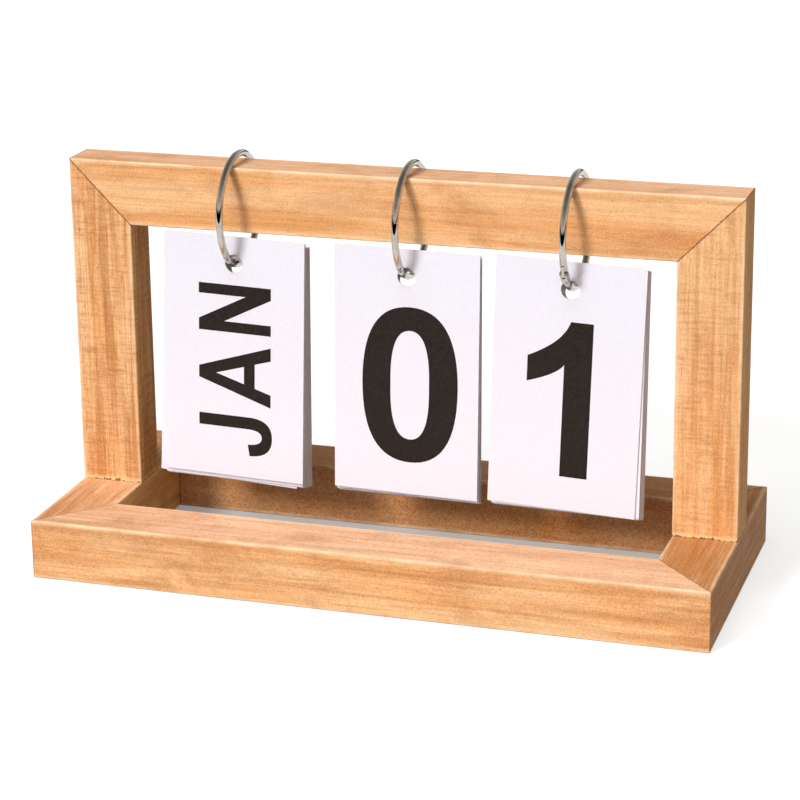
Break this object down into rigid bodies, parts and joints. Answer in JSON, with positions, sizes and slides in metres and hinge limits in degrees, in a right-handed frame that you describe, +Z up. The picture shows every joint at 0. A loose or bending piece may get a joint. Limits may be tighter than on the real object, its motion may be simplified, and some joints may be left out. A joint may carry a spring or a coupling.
{
  "type": "perpetual desk calendar",
  "caption": "Wooden stand with a top rail carrying three book rings of swinging flip cards for the month and the two digits of the day.",
  "frame": {"origin": "middle of the underside of the base", "axes": "+X to the right along the front, +Y to the back, +Z up"},
  "size_m": [0.25, 0.108, 0.151],
  "materials": {
    "base_front_rail": "satin clear finish on light hardwood",
    "base_back_rail": "satin clear finish on light hardwood",
    "base_left_rail": "satin clear finish on light hardwood",
    "base_right_rail": "satin clear finish on light hardwood",
    "left_upright": "satin clear finish on light hardwood",
    "right_upright": "satin clear finish on light hardwood",
    "top_rail": "satin clear finish on light hardwood",
    "ring_nickel": "bright nickel plate",
    "rivet_steel": "nickel plated rivet",
    "card_stock": "smooth white card"
  },
  "bodies": {
    "stand": {"base_front_rail": "base_front_rail", "base_back_rail": "base_back_rail", "base_left_rail": "base_left_rail", "base_right_rail": "base_right_rail", "left_upright": "left_upright", "right_upright": "right_upright", "top_rail": "top_rail"},
    "month_ring": {"month_ring_card_half": "ring_nickel", "month_ring_rivet": "rivet_steel"},
    "month_ring_opening_half": {"month_ring_opening_half": "ring_nickel"},
    "month_card_jan": {"month_card_jan": "card_stock"},
    "month_card_feb": {"month_card_feb": "card_stock"},
    "month_card_mar": {"month_card_mar": "card_stock"},
    "month_card_apr": {"month_card_apr": "card_stock"},
    "month_card_may": {"month_card_may": "card_stock"},
    "month_card_jun": {"month_card_jun": "card_stock"},
    "month_card_jul": {"month_card_jul": "card_stock"},
    "month_card_aug": {"month_card_aug": "card_stock"},
    "month_card_sep": {"month_card_sep": "card_stock"},
    "month_card_oct": {"month_card_oct": "card_stock"},
    "month_card_nov": {"month_card_nov": "card_stock"},
    "month_card_dec": {"month_card_dec": "card_stock"},
    "tens_ring": {"tens_ring_card_half": "ring_nickel", "tens_ring_rivet": "rivet_steel"},
    "tens_ring_opening_half": {"tens_ring_opening_half": "ring_nickel"},
    "tens_card_0": {"tens_card_0": "card_stock"},
    "tens_card_1": {"tens_card_1": "card_stock"},
    "tens_card_2": {"tens_card_2": "card_stock"},
    "tens_card_3": {"tens_card_3": "card_stock"},
    "ones_ring": {"ones_ring_card_half": "ring_nickel", "ones_ring_rivet": "rivet_steel"},
    "ones_ring_opening_half": {"ones_ring_opening_half": "ring_nickel"},
    "ones_card_1": {"ones_card_1": "card_stock"},
    "ones_card_2": {"ones_card_2": "card_stock"},
    "ones_card_3": {"ones_card_3": "card_stock"},
    "ones_card_4": {"ones_card_4": "card_stock"},
    "ones_card_5": {"ones_card_5": "card_stock"},
    "ones_card_6": {"ones_card_6": "card_stock"},
    "ones_card_7": {"ones_card_7": "card_stock"},
    "ones_card_8": {"ones_card_8": "card_stock"},
    "ones_card_9": {"ones_card_9": "card_stock"},
    "ones_card_0": {"ones_card_0": "card_stock"}
  },
  "joints": [
    {"name": "month_ring_slide", "type": "slide", "parent": "stand", "child": "month_ring", "axis": [1, 0, 0], "range_m": [-0.008, 0.01]},
    {"name": "month_ring_opening", "type": "hinge", "parent": "month_ring", "child": "month_ring_opening_half", "pos_m": [-0.0619, 0.00711, 0.10867], "axis": [-1, 0, 0], "range_deg": [0, 90]},
    {"name": "month_card_dec_swing", "type": "hinge", "parent": "month_ring", "child": "month_card_dec", "pos_m": [-0.0619, 0.0027, 0.1294], "axis": [-1, 0, 0], "range_deg": [-80, 4]},
    {"name": "month_card_nov_swing", "type": "hinge", "parent": "month_card_dec", "child": "month_card_nov", "pos_m": [-0.0619, 0.0027, 0.1294], "axis": [-1, 0, 0], "range_deg": [0, 4]},
    {"name": "month_card_oct_swing", "type": "hinge", "parent": "month_card_nov", "child": "month_card_oct", "pos_m": [-0.0619, 0.0027, 0.1294], "axis": [-1, 0, 0], "range_deg": [0, 4]},
    {"name": "month_card_sep_swing", "type": "hinge", "parent": "month_card_oct", "child": "month_card_sep", "pos_m": [-0.0619, 0.0027, 0.1294], "axis": [-1, 0, 0], "range_deg": [0, 4]},
    {"name": "month_card_aug_swing", "type": "hinge", "parent": "month_card_sep", "child": "month_card_aug", "pos_m": [-0.0619, 0.0027, 0.1294], "axis": [-1, 0, 0], "range_deg": [0, 4]},
    {"name": "month_card_jul_swing", "type": "hinge", "parent": "month_card_aug", "child": "month_card_jul", "pos_m": [-0.0619, 0.0027, 0.1294], "axis": [-1, 0, 0], "range_deg": [0, 4]},
    {"name": "month_card_jun_swing", "type": "hinge", "parent": "month_card_jul", "child": "month_card_jun", "pos_m": [-0.0619, 0.0027, 0.1294], "axis": [-1, 0, 0], "range_deg": [0, 4]},
    {"name": "month_card_may_swing", "type": "hinge", "parent": "month_card_jun", "child": "month_card_may", "pos_m": [-0.0619, 0.0027, 0.1294], "axis": [-1, 0, 0], "range_deg": [0, 4]},
    {"name": "month_card_apr_swing", "type": "hinge", "parent": "month_card_may", "child": "month_card_apr", "pos_m": [-0.0619, 0.0027, 0.1294], "axis": [-1, 0, 0], "range_deg": [0, 4]},
    {"name": "month_card_mar_swing", "type": "hinge", "parent": "month_card_apr", "child": "month_card_mar", "pos_m": [-0.0619, 0.0027, 0.1294], "axis": [-1, 0, 0], "range_deg": [0, 4]},
    {"name": "month_card_feb_swing", "type": "hinge", "parent": "month_card_mar", "child": "month_card_feb", "pos_m": [-0.0619, 0.0027, 0.1294], "axis": [-1, 0, 0], "range_deg": [0, 4]},
    {"name": "month_card_jan_swing", "type": "hinge", "parent": "month_card_feb", "child": "month_card_jan", "pos_m": [-0.0619, 0.0027, 0.1294], "axis": [-1, 0, 0], "range_deg": [0, 31]},
    {"name": "tens_ring_slide", "type": "slide", "parent": "stand", "child": "tens_ring", "axis": [1, 0, 0], "range_m": [-0.0095, 0.003]},
    {"name": "tens_ring_opening", "type": "hinge", "parent": "tens_ring", "child": "tens_ring_opening_half", "pos_m": [0.0038, 0.02318, 0.12392], "axis": [-1, 0, 0], "range_deg": [0, 90]},
    {"name": "tens_card_3_swing", "type": "hinge", "parent": "tens_ring", "child": "tens_card_3", "pos_m": [0.0038, 0.0027, 0.1294], "axis": [-1, 0, 0], "range_deg": [-80, 15]},
    {"name": "tens_card_2_swing", "type": "hinge", "parent": "tens_card_3", "child": "tens_card_2", "pos_m": [0.0038, 0.0027, 0.1294], "axis": [-1, 0, 0], "range_deg": [0, 15]},
    {"name": "tens_card_1_swing", "type": "hinge", "parent": "tens_card_2", "child": "tens_card_1", "pos_m": [0.0038, 0.0027, 0.1294], "axis": [-1, 0, 0], "range_deg": [0, 15]},
    {"name": "tens_card_0_swing", "type": "hinge", "parent": "tens_card_1", "child": "tens_card_0", "pos_m": [0.0038, 0.0027, 0.1294], "axis": [-1, 0, 0], "range_deg": [0, 30]},
    {"name": "ones_ring_slide", "type": "slide", "parent": "stand", "child": "ones_ring", "axis": [1, 0, 0], "range_m": [-0.003, 0.0085]},
    {"name": "ones_ring_opening", "type": "hinge", "parent": "ones_ring", "child": "ones_ring_opening_half", "pos_m": [0.0641, -0.01528, 0.11817], "axis": [-1, 0, 0], "range_deg": [-90, 0]},
    {"name": "ones_card_0_swing", "type": "hinge", "parent": "ones_ring", "child": "ones_card_0", "pos_m": [0.0641, 0.0027, 0.1294], "axis": [-1, 0, 0], "range_deg": [-80, 5]},
    {"name": "ones_card_9_swing", "type": "hinge", "parent": "ones_card_0", "child": "ones_card_9", "pos_m": [0.0641, 0.0027, 0.1294], "axis": [-1, 0, 0], "range_deg": [0, 5]},
    {"name": "ones_card_8_swing", "type": "hinge", "parent": "ones_card_9", "child": "ones_card_8", "pos_m": [0.0641, 0.0027, 0.1294], "axis": [-1, 0, 0], "range_deg": [0, 5]},
    {"name": "ones_card_7_swing", "type": "hinge", "parent": "ones_card_8", "child": "ones_card_7", "pos_m": [0.0641, 0.0027, 0.1294], "axis": [-1, 0, 0], "range_deg": [0, 5]},
    {"name": "ones_card_6_swing", "type": "hinge", "parent": "ones_card_7", "child": "ones_card_6", "pos_m": [0.0641, 0.0027, 0.1294], "axis": [-1, 0, 0], "range_deg": [0, 5]},
    {"name": "ones_card_5_swing", "type": "hinge", "parent": "ones_card_6", "child": "ones_card_5", "pos_m": [0.0641, 0.0027, 0.1294], "axis": [-1, 0, 0], "range_deg": [0, 5]},
    {"name": "ones_card_4_swing", "type": "hinge", "parent": "ones_card_5", "child": "ones_card_4", "pos_m": [0.0641, 0.0027, 0.1294], "axis": [-1, 0, 0], "range_deg": [0, 5]},
    {"name": "ones_card_3_swing", "type": "hinge", "parent": "ones_card_4", "child": "ones_card_3", "pos_m": [0.0641, 0.0027, 0.1294], "axis": [-1, 0, 0], "range_deg": [0, 5]},
    {"name": "ones_card_2_swing", "type": "hinge", "parent": "ones_card_3", "child": "ones_card_2", "pos_m": [0.0641, 0.0027, 0.1294], "axis": [-1, 0, 0], "range_deg": [0, 5]},
    {"name": "ones_card_1_swing", "type": "hinge", "parent": "ones_card_2", "child": "ones_card_1", "pos_m": [0.0641, 0.0027, 0.1294], "axis": [-1, 0, 0], "range_deg": [0, 30]}
  ]
}
